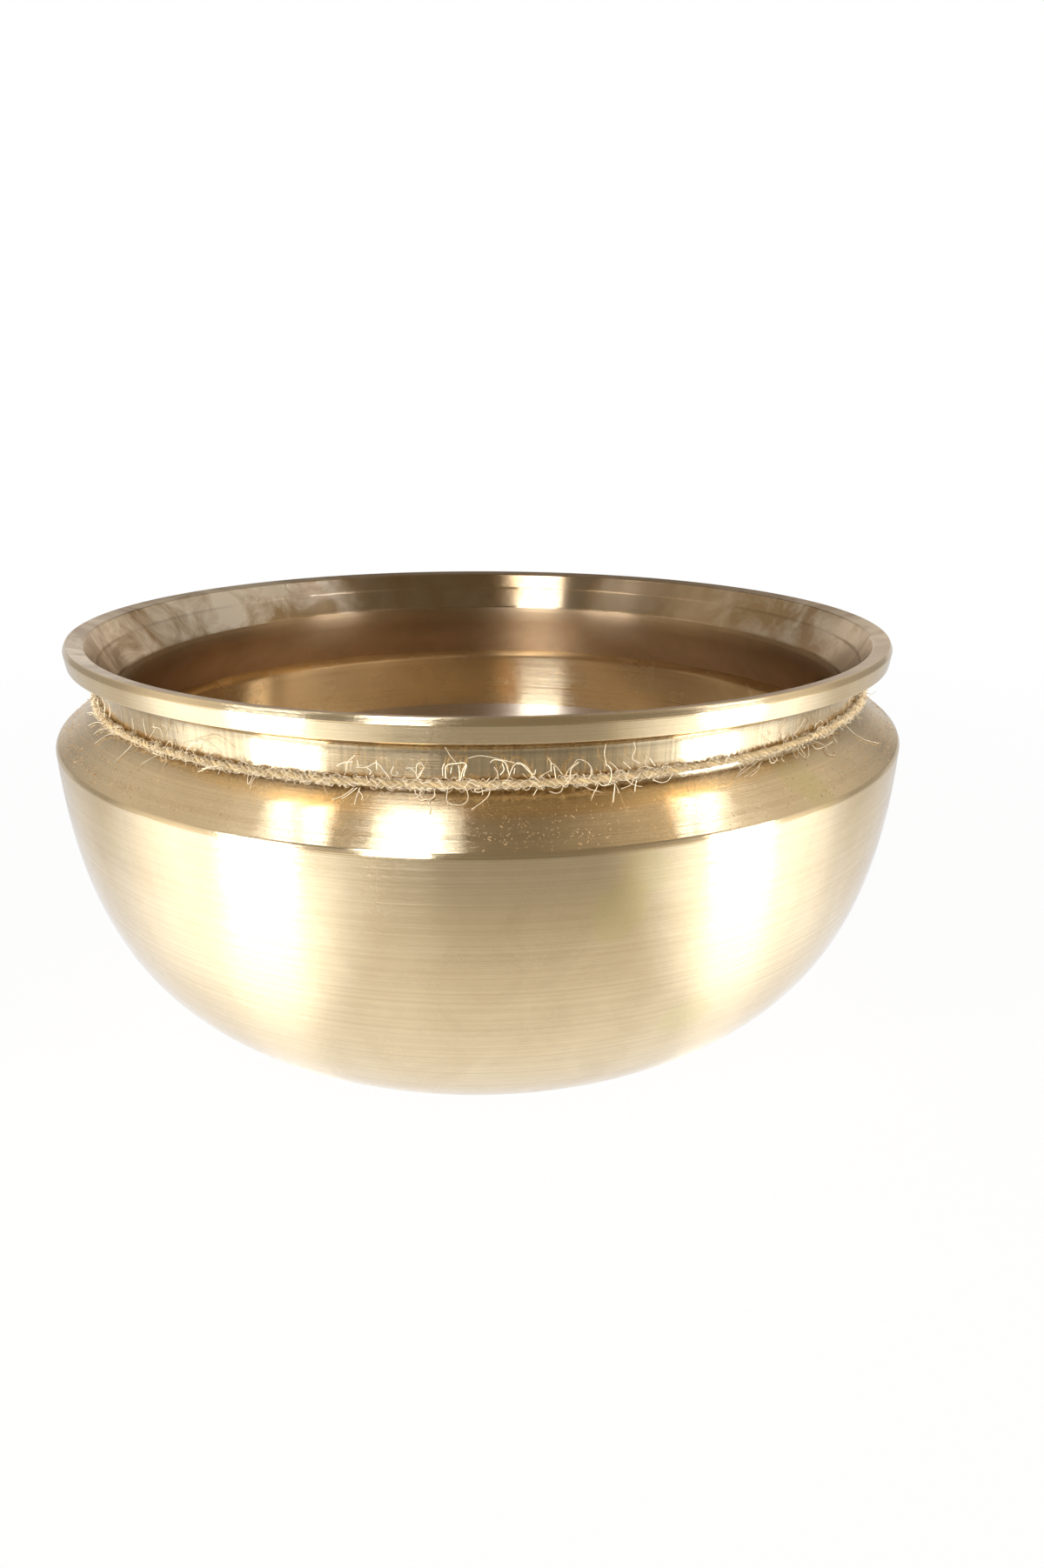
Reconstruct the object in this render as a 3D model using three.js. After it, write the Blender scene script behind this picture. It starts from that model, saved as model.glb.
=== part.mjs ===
// A cast and lathe-turned bronze bowl, with a length of jute twine tied round its neck.
// Millimetres, +Z up. The origin is the centre of the flat base, and the knot is at the back, on +Y.

import * as THREE from 'three';

// Bowl: overall sizes
const HEIGHT = 124;
const BASE_RADIUS = 51;
const NECK_RADIUS = 119.1;
const LIP_OVERHANG = 7.9; // how far the lip's outer edge stands out beyond the neck
const SHOULDER_OVERHANG = 13.3; // how far the shoulder's edge stands out beyond the neck

// Bowl: drops below the top of the lip
const LIP_CHAMFER_DROP = 1.6; // foot of the chamfer round the lip's outer edge
const RIM_FACE_DROP = 5.8; // foot of the rim's upright face
const NECK_FOOT_DROP = 18.2; // corner between the neck and the shoulder
const SHOULDER_DROP = 28.2; // edge between the shoulder and the belly

// Bowl: turned details
const LIP_CHAMFER_WIDTH = 0.8; // from the rim's face in to the lip's land
const RIM_FACE_INSET = 0.5; // draft of the rim's face, top to foot
const COVE_HEIGHT = 4; // hollow curve from the neck out to the foot of the rim
const NECK_FILLET = 0.8;
const SHOULDER_FLAT = 0.7; // narrow flat turned on the shoulder's edge
const BELLY_BASE_PULL = 63; // how long the belly's curve stays level as it leaves the base
const BELLY_SIDE_PULL = 58.5; // how long it stays upright below the shoulder

// Bowl: the inside
const WALL = 3.5;
const NECK_WALL = 4.5;
const LAND_WIDTH = 4.6; // flat top of the lip, which falls inwards
const LAND_FALL = 0.9;
const FLARE_BREAK_DROP = 6.4; // ridge between the two cones of the flared mouth
const FLARE_BREAK_INSET = 4; // from that ridge in to the throat
const THROAT_DROP = 15;
const THROAT_ROUNDING = 3;
const HOLLOW_DROP = 38.5; // corner where the cone under the shoulder meets the inside of the belly
const INNER_ROUNDING = 2.5; // of that corner

// Twine: sizes, and how it sits
const TWINE_DIAMETER = 1.8;
const TWINE_CLEARANCE = 0.3; // to the bowl
const TWINE_SLANT = 2.1; // the turn rests on the shoulder on the -X side and rides this much higher on +X
const KNOT_GAP = 0.6; // between the passes of the knot

// Facets and steps
const FACETS = 84;
const BELLY_STEPS = 12;
const COVE_STEPS = 5;
const FILLET_STEPS = 3;
const ROUNDING_STEPS = 5;
const TWINE_SIDES = 6;
const END_STEP = 1.9; // length of a step of the twine in its knot and tails

// Places that follow from the sizes above
const LIP_RADIUS = NECK_RADIUS + LIP_OVERHANG;
const SHOULDER_RADIUS = NECK_RADIUS + SHOULDER_OVERHANG;
const LAND_RADIUS = LIP_RADIUS - LIP_CHAMFER_WIDTH;
const RIM_FOOT_RADIUS = LIP_RADIUS - RIM_FACE_INSET;
const RIM_FOOT_Z = HEIGHT - RIM_FACE_DROP;
const NECK_FOOT_Z = HEIGHT - NECK_FOOT_DROP;
const SHOULDER_Z = HEIGHT - SHOULDER_DROP;
const THROAT_RADIUS = NECK_RADIUS - NECK_WALL;
const HOLLOW_Z = HEIGHT - HOLLOW_DROP;

// Down the slope of the shoulder, as a unit vector of radius and height
const slope = new THREE.Vector2(SHOULDER_OVERHANG, SHOULDER_Z - NECK_FOOT_Z).normalize();

const at = (radius, z) => new THREE.Vector2(radius, z);

const up = at(0, 1);

const along = (point, direction, distance) => point.clone().addScaledVector(direction, distance);

// A rounded corner: leaves `from`, bends round `corner` and arrives at `to`
function rounded(from, corner, to, steps) {
  return new THREE.QuadraticBezierCurve(from, corner, to).getPoints(steps);
}

// The belly, from the base's edge up to the shoulder's edge
function bellyCurve() {
  const top = SHOULDER_Z - SHOULDER_FLAT;
  return new THREE.CubicBezierCurve(
    at(BASE_RADIUS, 0),
    at(BASE_RADIUS + BELLY_BASE_PULL, 0),
    at(SHOULDER_RADIUS, top - BELLY_SIDE_PULL),
    at(SHOULDER_RADIUS, top),
  );
}

// The hollow curve that carries the neck out to the foot of the rim, a quarter of an ellipse
function cove() {
  const width = RIM_FOOT_RADIUS - NECK_RADIUS;
  const foot = RIM_FOOT_Z - COVE_HEIGHT;
  const arc = new THREE.EllipseCurve(RIM_FOOT_RADIUS, foot, width, COVE_HEIGHT, Math.PI, Math.PI / 2, true);
  return arc.getPoints(COVE_STEPS);
}

// Outside of the bowl, from the middle of the base up to the lip's land
function outsideProfile(belly) {
  const neckFoot = at(NECK_RADIUS, NECK_FOOT_Z);
  const filletStart = along(neckFoot, slope, NECK_FILLET);
  const filletEnd = along(neckFoot, up, NECK_FILLET);
  const shoulderTop = at(SHOULDER_RADIUS, SHOULDER_Z);
  return [
    at(0, 0),
    ...belly.getPoints(BELLY_STEPS),
    along(shoulderTop, slope, -SHOULDER_FLAT),
    ...rounded(filletStart, neckFoot, filletEnd, FILLET_STEPS),
    ...cove(),
    at(LIP_RADIUS, HEIGHT - LIP_CHAMFER_DROP),
    at(LAND_RADIUS, HEIGHT),
  ];
}

// Inside of the belly, from its top down to the floor
function innerBelly(belly) {
  const points = [];
  for (let step = BELLY_STEPS; step >= 0; step -= 1) {
    const share = step / BELLY_STEPS;
    const tangent = belly.getTangent(share);
    points.push(along(belly.getPoint(share), at(-tangent.y, tangent.x), WALL));
  }
  return points;
}

// Inside of the bowl, from the lip's land down to the middle of the floor
function insideProfile(belly) {
  const wall = innerBelly(belly);
  const below = wall.findIndex((point) => point.y < HOLLOW_Z);
  const [above, next] = [wall[below - 1], wall[below]];
  const corner = above.clone().lerp(next, (above.y - HOLLOW_Z) / (above.y - next.y));
  const [bellyTop, ...bellyRest] = wall.filter((point) => point.y < HOLLOW_Z - INNER_ROUNDING);
  const shoulderThickness = WALL / slope.x;
  const throatRise = (NECK_WALL * -slope.y) / slope.x;
  const throat = at(THROAT_RADIUS, NECK_FOOT_Z + throatRise - shoulderThickness);
  const cone = corner.clone().sub(throat).normalize();
  const throatTop = along(throat, up, THROAT_ROUNDING);
  const throatFoot = along(throat, cone, THROAT_ROUNDING);
  return [
    at(LAND_RADIUS - LAND_WIDTH, HEIGHT - LAND_FALL),
    at(THROAT_RADIUS + FLARE_BREAK_INSET, HEIGHT - FLARE_BREAK_DROP),
    at(THROAT_RADIUS, HEIGHT - THROAT_DROP),
    ...rounded(throatTop, throat, throatFoot, ROUNDING_STEPS),
    ...rounded(along(corner, cone, -INNER_ROUNDING), corner, bellyTop, ROUNDING_STEPS),
    ...bellyRest,
    at(0, WALL),
  ];
}

function bowlGeometry() {
  const belly = bellyCurve();
  const profile = [...outsideProfile(belly), ...insideProfile(belly)];
  return new THREE.LatheGeometry(profile, FACETS).rotateX(Math.PI / 2);
}

// Twine: seated in the corner of the neck and the shoulder, as far from the one as from the other
const TWINE_RADIUS = TWINE_DIAMETER / 2;
const seatOffset = Math.max(TWINE_RADIUS + TWINE_CLEARANCE, NECK_FILLET);
const TURN_RADIUS = NECK_RADIUS + seatOffset;
const SEAT_Z = NECK_FOOT_Z + (seatOffset * (1 + slope.y)) / slope.x;

// The reef knot is drawn in pitches, one pitch being the twine and the gap beside it
const PITCH = TWINE_DIAMETER + KNOT_GAP;
const KNOT_RISE = 1.5; // pitches above the seat, so that the lowest pass clears the shoulder
const KNOT_ANGLE = Math.PI / 2;
const KNOT_Z = SEAT_Z + KNOT_RISE * PITCH;

const knotAngle = (sideways) => KNOT_ANGLE + (sideways * PITCH) / TURN_RADIUS;

// A point of the knot: pitches along the neck, pitches up, and pitches out from the neck
function knotPoint([sideways, rise, out]) {
  const angle = knotAngle(sideways);
  const radius = TURN_RADIUS + out * PITCH;
  return new THREE.Vector3(radius * Math.cos(angle), radius * Math.sin(angle), KNOT_Z + rise * PITCH);
}

// One bight of the knot, from its tail's side round to its standing side
const BIGHT = [
  [-2.4, 0.5, 0], [-1.2, 0.5, 0.5], [-0.6, 0.68, 0.88], [0, 1.03, 1], [0.6, 1.38, 0.88], [1.2, 1.55, 0.5],
  [2, 1.4, 0], [2.72, 0.8, 0], [3, 0, 0], [2.72, -0.8, 0], [2, -1.4, 0], [1.2, -1.55, 0.5],
  [0.6, -1.38, 0.88], [0, -1.03, 1], [-0.6, -0.68, 0.88], [-1.2, -0.5, 0.5], [-2.4, -0.5, 0],
];

// The other bight comes from the other side, and is in front where the first is behind
const OTHER_BIGHT = BIGHT.map(([sideways, rise, out]) => [-sideways, rise, 1 - out]);

// The tails drop over the turn of twine and lie along the shoulder, each from its cut end to the knot
const TAIL = [
  [-13, -4.38, 3.86], [-11.8, -4.26, 3.7], [-10.2, -4.06, 3.45], [-8.6, -3.8, 3.15], [-7.4, -3.05, 2.75],
  [-6.6, -1.9, 2.3], [-6, -0.7, 1.75], [-5.3, 0.2, 1.1], [-4.4, 0.55, 0.45], [-3.4, 0.5, 0.05],
];
const OTHER_TAIL = [
  [11.6, -4.2, 3.62], [10.4, -4.05, 3.42], [9, -3.8, 3.15], [7.7, -3.15, 2.85], [6.8, -2.1, 2.5],
  [6.1, -1, 2.15], [5.4, -0.1, 1.75], [4.5, 0.45, 1.3], [3.4, 0.55, 1.05],
];

// Where each standing part leaves the knot, and how far along the neck it joins the turn
const LEAD = [[-3.6, -0.53, 0], [-5, -0.72, 0], [-7, -0.97, 0]];
const LEAD_JOIN = -9;
const OTHER_LEAD = [[3.5, -0.53, 0.93], [4.7, -0.7, 0.5], [6, -0.9, 0.1], [7.5, -1.06, 0]];
const OTHER_LEAD_JOIN = 9.5;

// One end of the twine as evenly spaced points, from its cut end to where it joins the turn
function endRoute(tail, bight, lead, join) {
  const points = [...tail, ...bight, ...lead].map(knotPoint);
  points.push(turnPoint(knotAngle(join)));
  const curve = new THREE.CatmullRomCurve3(points, false, 'centripetal');
  return curve.getSpacedPoints(Math.round(curve.getLength() / END_STEP));
}

// A point of the turn round the neck, which rides higher on its +X side
function turnPoint(angle) {
  const z = SEAT_Z + (TWINE_SLANT * (1 + Math.cos(angle))) / 2;
  return new THREE.Vector3(TURN_RADIUS * Math.cos(angle), TURN_RADIUS * Math.sin(angle), z);
}

// The whole twine: one end, the turn from the knot's right side round the front to its left, the other end
function twineRoute() {
  const firstEnd = endRoute(TAIL, BIGHT, LEAD, LEAD_JOIN);
  const otherEnd = endRoute(OTHER_TAIL, OTHER_BIGHT, OTHER_LEAD, OTHER_LEAD_JOIN);
  const facet = (2 * Math.PI) / FACETS;
  const angleOf = (point) => Math.atan2(point.y, point.x);
  const start = angleOf(firstEnd.at(-1));
  const sweep = 2 * Math.PI - (angleOf(otherEnd.at(-1)) - start);
  const steps = Math.ceil(sweep / facet);
  const turn = [];
  for (let step = 1; step < steps; step += 1) turn.push(turnPoint(start - (sweep * step) / steps));
  return [...firstEnd, ...turn, ...otherEnd.reverse()];
}

// A closed tube round a line of points, its sides carried along without twisting
function tubeGeometry(points, radius, sides) {
  const positions = [];
  const indices = [];
  const tangentAt = (index) => {
    const before = points[Math.max(index - 1, 0)];
    const after = points[Math.min(index + 1, points.length - 1)];
    return after.clone().sub(before).normalize();
  };
  const side = new THREE.Vector3(0, 0, 1);
  points.forEach((point, index) => {
    const tangent = tangentAt(index);
    side.addScaledVector(tangent, -side.dot(tangent)).normalize();
    const across = tangent.clone().cross(side);
    for (let corner = 0; corner < sides; corner += 1) {
      const angle = (2 * Math.PI * corner) / sides;
      const spoke = side.clone().multiplyScalar(Math.cos(angle)).addScaledVector(across, Math.sin(angle));
      positions.push(...point.clone().addScaledVector(spoke, radius).toArray());
    }
  });
  for (let ring = 0; ring < points.length - 1; ring += 1) {
    for (let corner = 0; corner < sides; corner += 1) {
      const next = (corner + 1) % sides;
      const a = ring * sides + corner;
      const b = ring * sides + next;
      indices.push(a, b, b + sides, a, b + sides, a + sides);
    }
  }
  const lastRing = (points.length - 1) * sides;
  for (let corner = 1; corner < sides - 1; corner += 1) {
    indices.push(0, corner + 1, corner);
    indices.push(lastRing, lastRing + corner, lastRing + corner + 1);
  }
  const geometry = new THREE.BufferGeometry();
  geometry.setAttribute('position', new THREE.Float32BufferAttribute(positions, 3));
  geometry.setIndex(indices);
  return geometry;
}

// Least gap between passes of the twine, measured between points well apart along it
function leastGap(points) {
  const curve = new THREE.CatmullRomCurve3(points, false, 'centripetal');
  const length = curve.getLength();
  const samples = curve.getSpacedPoints(Math.round(length / (TWINE_DIAMETER / 4)));
  const apart = 12; // samples, three diameters along the twine, past which two points are two passes
  let least = Infinity;
  for (let i = 0; i < samples.length; i += 1) {
    for (let j = i + apart; j < samples.length; j += 1) {
      least = Math.min(least, samples[i].distanceTo(samples[j]));
    }
  }
  return { length, gap: least - TWINE_DIAMETER };
}

function namedMesh(name, geometry, finish) {
  const mesh = new THREE.Mesh(geometry, new THREE.MeshStandardMaterial(finish));
  mesh.name = name;
  return mesh;
}

const route = twineRoute();
const { length, gap } = leastGap(route);
console.log(`twine length ${length.toFixed(0)} mm, least gap between its passes ${gap.toFixed(2)} mm`);

const group = new THREE.Group();
group.add(
  namedMesh('bowl', bowlGeometry(), { color: 0xd8bd8c, roughness: 0.28, metalness: 1 }),
  namedMesh('neck_twine', tubeGeometry(route, TWINE_RADIUS, TWINE_SIDES), {
    color: 0xd2b98a, roughness: 0.95, metalness: 0,
  }),
);

export default group;
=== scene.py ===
"""Looks of a lathe-turned bronze bowl with jute twine tied round its neck, in metres, +Z up."""

import logging
import math
import random
from dataclasses import dataclass
from enum import Enum
from typing import Any

import bmesh
import bpy
from mathutils import Matrix, Vector
from mathutils.geometry import interpolate_bezier


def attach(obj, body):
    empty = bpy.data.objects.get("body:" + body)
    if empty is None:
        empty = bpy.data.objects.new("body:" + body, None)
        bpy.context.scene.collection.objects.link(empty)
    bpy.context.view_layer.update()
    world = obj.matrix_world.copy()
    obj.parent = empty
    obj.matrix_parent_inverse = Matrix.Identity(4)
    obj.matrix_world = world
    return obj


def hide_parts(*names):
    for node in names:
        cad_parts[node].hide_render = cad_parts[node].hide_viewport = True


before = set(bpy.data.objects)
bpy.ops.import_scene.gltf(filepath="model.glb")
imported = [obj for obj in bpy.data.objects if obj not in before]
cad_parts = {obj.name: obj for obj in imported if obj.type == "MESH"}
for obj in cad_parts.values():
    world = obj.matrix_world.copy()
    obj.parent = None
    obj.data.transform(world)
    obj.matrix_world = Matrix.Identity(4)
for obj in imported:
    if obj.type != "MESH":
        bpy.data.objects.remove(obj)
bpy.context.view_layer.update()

LOG = logging.getLogger("bowl")
MM = 0.001
WHITE = (1.0, 1.0, 1.0, 1.0)
SMOOTH = {"interpolation_type": "SMOOTHSTEP"}

Span = tuple[float, float]
Place = tuple[float, float, float]
Tree = bpy.types.NodeTree
Socket = bpy.types.NodeSocket


def linear(code: str) -> tuple[float, float, float, float]:
    """Turn an sRGB hex colour into a linear one.

    Args:
        code: six hex digits after a hash sign.

    Returns:
        Red, green, blue and an alpha of 1.
    """
    shares = [int(code[i:i + 2], 16) / 255 for i in (1, 3, 5)]
    red, green, blue = (c / 12.92 if c <= 0.04045 else ((c + 0.055) / 1.055) ** 2.4 for c in shares)
    return (red, green, blue, 1.0)


def add_node(
    tree: Tree, kind: str, inputs: dict | None = None, output: str | int | None = 0, **settings: Any
) -> Socket | None:
    """Add one node with its settings, and feed its inputs.

    Args:
        tree: node tree that the node joins.
        kind: Blender's name of the node type, after ShaderNode.
        inputs: input name or number, with the value or the output socket that feeds it.
        output: name or number of the wanted output, or none.
        settings: properties of the node itself.

    Returns:
        The wanted output socket.
    """
    node = tree.nodes.new(f"ShaderNode{kind}")
    for name, value in settings.items():
        setattr(node, name, value)
    for key, value in (inputs or {}).items():
        if isinstance(value, Socket):
            tree.links.new(value, node.inputs[key])
        else:
            node.inputs[key].default_value = value
    return None if output is None else node.outputs[output]


def blank_material(name: str) -> bpy.types.Material:
    """Start a material.

    Args:
        name: name of the material.

    Returns:
        The material, with an empty node tree.
    """
    material = bpy.data.materials.new(name)
    material.use_nodes = True
    material.node_tree.nodes.clear()
    return material


def new_piece(name: str, mesh: bpy.types.Mesh, *materials: bpy.types.Material) -> bpy.types.Object:
    """Put a mesh into the scene as a piece at the origin.

    Args:
        name: name of the piece.
        mesh: its mesh, already in place.
        materials: its finishes, in the order of the faces' material numbers.

    Returns:
        The new object.
    """
    mesh.name = name
    if mesh.materials:
        mesh.materials.clear()
    for material in materials:
        mesh.materials.append(material)
    piece = bpy.data.objects.new(name, mesh)
    bpy.context.scene.collection.objects.link(piece)
    return piece


@dataclass
class Strand:
    """A line of points with the radius of the tube at each of them."""

    points: list[Vector]
    radii: list[float]


def strands_piece(
    name: str, strands: list[Strand], sides: int, material: bpy.types.Material
) -> bpy.types.Object:
    """Sweep round tubes along strands and join them in one piece.

    Args:
        name: name of the piece.
        strands: the lines to sweep along.
        sides: corners of the tubes' section, an even number from 4.
        material: its finish.

    Returns:
        A piece of closed tubes, shaded smooth.
    """
    curve = bpy.data.curves.new(name, "CURVE")
    curve.dimensions = "3D"
    curve.bevel_depth = 1.0
    curve.bevel_resolution = (sides - 4) // 2
    curve.use_fill_caps = True
    for strand in strands:
        spline = curve.splines.new("POLY")
        spline.points.add(len(strand.points) - 1)
        for knot, point, radius in zip(spline.points, strand.points, strand.radii):
            knot.co = (*point, 1.0)
            knot.radius = radius
    holder = bpy.data.objects.new(name, curve)
    mesh = bpy.data.meshes.new_from_object(holder)
    bpy.data.objects.remove(holder)
    bpy.data.curves.remove(curve)
    mesh.shade_smooth()
    return new_piece(name, mesh, material)


def through(points: list[Vector], steps: int) -> list[Vector]:
    """Draw a smooth line through points.

    Args:
        points: points in order.
        steps: points of the line between each two of them.

    Returns:
        Points of the line, the given ones among them.
    """
    line = []
    last = len(points) - 1
    for i in range(last):
        before, here, there, after = (points[min(max(i + k, 0), last)] for k in (-1, 0, 1, 2))
        span = (there - here).length
        pull = (there - before) * span / max((there - here).length + (here - before).length, 1e-9) / 3
        hold = (after - here) * span / max((after - there).length + (there - here).length, 1e-9) / 3
        line += interpolate_bezier(here, here + pull, there - hold, there, steps + 1)[:-1]
    return line + [points[-1]]


def run_length(points: list[Vector]) -> float:
    """Return the length of a line of points."""
    return sum((b - a).length for a, b in zip(points, points[1:]))


def evenly(points: list[Vector], step: float) -> list[Vector]:
    """Space points evenly along a line.

    Args:
        points: points of the line.
        step: wanted spacing.

    Returns:
        Points at about that spacing, both ends among them.
    """
    total = run_length(points)
    count = round(total / step)
    spaced = [points[0]]
    travelled = 0.0
    for a, b in zip(points, points[1:]):
        span = (b - a).length
        while len(spaced) < count and travelled + span >= total * len(spaced) / count:
            spaced.append(a.lerp(b, (total * len(spaced) / count - travelled) / span))
        travelled += span
    return spaced + [points[-1]]


def shares(count: int) -> list[float]:
    """Return so many evenly spaced shares from 0 to 1."""
    return [i / (count - 1) for i in range(count)]


def round_axis(radius: float, angle: float, height: float) -> Vector:
    """Return a point in metres from its radius and height in millimetres and its angle about the axis."""
    return Vector((radius * math.cos(angle), radius * math.sin(angle), height)) * MM


def apart(tree: Tree, value: Socket, middle: float) -> Socket:
    """Add nodes for how far a value is from a middle one."""
    off = add_node(tree, "Math", {0: value, 1: middle}, operation="SUBTRACT")
    return add_node(tree, "Math", {0: off}, operation="ABSOLUTE")


@dataclass(frozen=True)
class Ramp:
    """A level that goes from one value to another between two places."""

    start: float
    end: float
    before: float
    after: float

    def inputs(self, place: Socket) -> dict:
        """Return the inputs of a Map Range node that reads this ramp at a place."""
        return {0: place, 1: self.start, 2: self.end, 3: self.before, 4: self.after}


@dataclass(frozen=True)
class Stain:
    """A patch of tarnish; sizes in millimetres, edges in shares of its reach."""

    spot: Place
    reach: float
    strength: float
    edges: Span = (1.1, 1.5)

    def share(self, tree: Tree, place: Socket, clouds: Socket) -> Socket:
        """Return how much of the metal the patch covers.

        Args:
            tree: node tree of the material.
            place: where on the piece.
            clouds: the noise that makes the edge ragged.

        Returns:
            Share from 0 to the patch's strength.
        """
        spot = tuple(value * MM for value in self.spot)
        away = add_node(tree, "VectorMath", {0: place, 1: spot}, output="Value", operation="DISTANCE")
        ragged = add_node(tree, "Math", {0: clouds, 1: self.reach * MM, 2: away}, operation="MULTIPLY_ADD")
        inner, outer = (self.reach * edge * MM for edge in self.edges)
        ramp = Ramp(inner, outer, self.strength, 0.0)
        return add_node(tree, "MapRange", ramp.inputs(ragged), **SMOOTH)


@dataclass(frozen=True)
class PaintedBand:
    """A band that the metal is painted darker in, as painted shade and as painted streaks; heights in
    millimetres, thickest from `full` up.
    """

    foot: float
    full: float
    top: float
    strength: float
    brink: float = 0.3

    def share(self, tree: Tree, height: Socket, strength: Socket | float) -> Socket:
        """Return how much of the metal the band covers.

        Args:
            tree: node tree of the material.
            height: height on the piece, in metres.
            strength: share where the band is thickest.

        Returns:
            Share from 0 to that strength.
        """
        rise = Ramp(self.foot * MM, self.full * MM, 0.0, 0.0)
        risen = add_node(tree, "MapRange", {**rise.inputs(height), 4: strength})
        fall = Ramp((self.top - self.brink) * MM, self.top * MM, 0.0, 0.0)
        return add_node(tree, "MapRange", {**fall.inputs(height), 3: risen})


@dataclass(frozen=True)
class TurnedBronze:
    """Bell-metal bronze, cast and then turned on a lathe.

    Rings that the tool cut clean mirror the room. Rings that it tore are rough along the profile, and
    fan each lamp out into an upright band. Handling leaves a cloudy film on both.
    """

    name: str
    metal: str
    film: str
    film_strength: float
    clean_ring: float
    torn_ring: float
    torn_share: float
    ring_depth_mm: float = 0.001
    ring_pitches_mm: tuple[float, ...] = (0.3, 0.7)
    ring_shade: float = 0.0
    ring_edges: Span = (0.8, 1.25)
    tear_pitch_mm: float = 0.03
    tear_spread: float = 0.3
    tear_softness: float = 0.08
    cloud_mm: float = 14.0
    film_edges: Span = (0.36, 0.7)
    film_roughness: float = 0.25
    # Pale film at the left and right: a painted reflection
    pale_sides_film: bool = False
    pale_sides: Ramp = Ramp(0.07, 0.125, 0.12, 1.0)
    pale_sides_middle: float = 0.02
    # Band that holds the painted reflection streaks
    streaked: PaintedBand | None = None
    streak_mm: float = 0.916
    streak_edges: Span = (0.4, 0.7)
    neck_radius_mm: float = 119.1
    # Bands of painted shade, darkened towards the colour below
    shade_bands: tuple[PaintedBand, ...] = ()
    shade_and_streak_paint: str = "#665A46"
    stains: tuple[Stain, ...] = ()
    tarnish: str = "#DFC88E"

    def rings(self, tree: Tree, profile: Socket) -> Socket:
        """Draw the marks of the tool's feed, coarser than the finest real ones so that they show.

        Args:
            tree: node tree of the material.
            profile: radius and height.

        Returns:
            How high the metal stands.
        """
        rings: Socket | float = 0.0
        for pitch in self.ring_pitches_mm:
            noise = {"Vector": profile, "Scale": 1 / (pitch * MM), "Detail": 1.0}
            ring = add_node(tree, "TexNoise", noise, noise_dimensions="2D")
            rings = add_node(tree, "Math", {0: rings, 1: ring}, operation="ADD")
        return rings

    def roughness(self, tree: Tree, profile: Socket, film: Socket) -> Socket:
        """Set torn and clean rings side by side, closer than the eye can part them.

        Args:
            tree: node tree of the material.
            profile: radius and height.
            film: share of the cloudy film.

        Returns:
            Roughness of the metal under its film.
        """
        noise = {"Vector": profile, "Scale": 1 / (self.tear_pitch_mm * MM), "Detail": 0.0}
        tear = add_node(tree, "TexNoise", noise, noise_dimensions="2D")
        edge = 0.5 + self.tear_spread * (0.5 - self.torn_share)
        ramp = Ramp(edge - self.tear_softness, edge + self.tear_softness, self.clean_ring, self.torn_ring)
        bare = add_node(tree, "MapRange", ramp.inputs(tear))
        return add_node(tree, "Math", {0: film, 1: self.film_roughness, 2: bare}, operation="MULTIPLY_ADD")

    def film_share(self, tree: Tree, clouds: Socket, aside: Socket) -> Socket:
        """Spread the cloudy film; at the mouth's left and right it is a painted reflection.

        Args:
            tree: node tree of the material.
            clouds: noise of the film's clouds.
            aside: distance to the right of the axis, in metres.

        Returns:
            Share of the film.
        """
        film = add_node(tree, "MapRange", Ramp(*self.film_edges, 0.0, self.film_strength).inputs(clouds))
        if self.pale_sides_film:
            # Thicker and paler at the left and right, a painted reflection of the pale room seen at a
            # glancing angle; the middle lies a little right of the axis
            ramp = self.pale_sides.inputs(apart(tree, aside, self.pale_sides_middle))
            side_share = add_node(tree, "MapRange", ramp)
            film = add_node(tree, "Math", {0: film, 1: side_share}, operation="MULTIPLY")
        return film

    def streaks(self, tree: Tree, level: Socket) -> Socket:
        """Draw upright darker streaks on the neck, a painted reflection of the fibres smeared along the
        profile.

        Args:
            tree: node tree of the material.
            level: place in the level plane.

        Returns:
            Share of the streaks.
        """
        heading = add_node(tree, "VectorMath", {0: level}, operation="NORMALIZE")
        scale = self.neck_radius_mm / self.streak_mm
        noise = {"Vector": heading, "Scale": scale, "Detail": 2.0}
        streak_noise = add_node(tree, "TexNoise", noise, noise_dimensions="2D")
        ramp = Ramp(*self.streak_edges, 0.0, self.streaked.strength)
        return add_node(tree, "MapRange", ramp.inputs(streak_noise))

    def make(self) -> bpy.types.Material:
        """Return the material."""
        material = blank_material(self.name)
        tree = material.node_tree
        place = add_node(tree, "TexCoord", output="Object")
        aside, _, height = add_node(tree, "SeparateXYZ", {0: place}).node.outputs
        level = add_node(tree, "VectorMath", {0: place, 1: (1, 1, 0)}, operation="MULTIPLY")
        radius = add_node(tree, "VectorMath", {0: level}, output="Value", operation="LENGTH")

        # Every ring of the lathe is one point of the profile: radius and height
        profile = add_node(tree, "CombineXYZ", {0: radius, 1: height})
        rings = self.rings(tree, profile)
        bump = add_node(tree, "Bump", {"Height": rings, "Distance": self.ring_depth_mm * MM})
        noise = {"Scale": 1 / (self.cloud_mm * MM), "Detail": 5.0, "Roughness": 0.6, "Distortion": 0.6}
        clouds = add_node(tree, "TexNoise", {"Vector": place, **noise})
        film = self.film_share(tree, clouds, aside)

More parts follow.
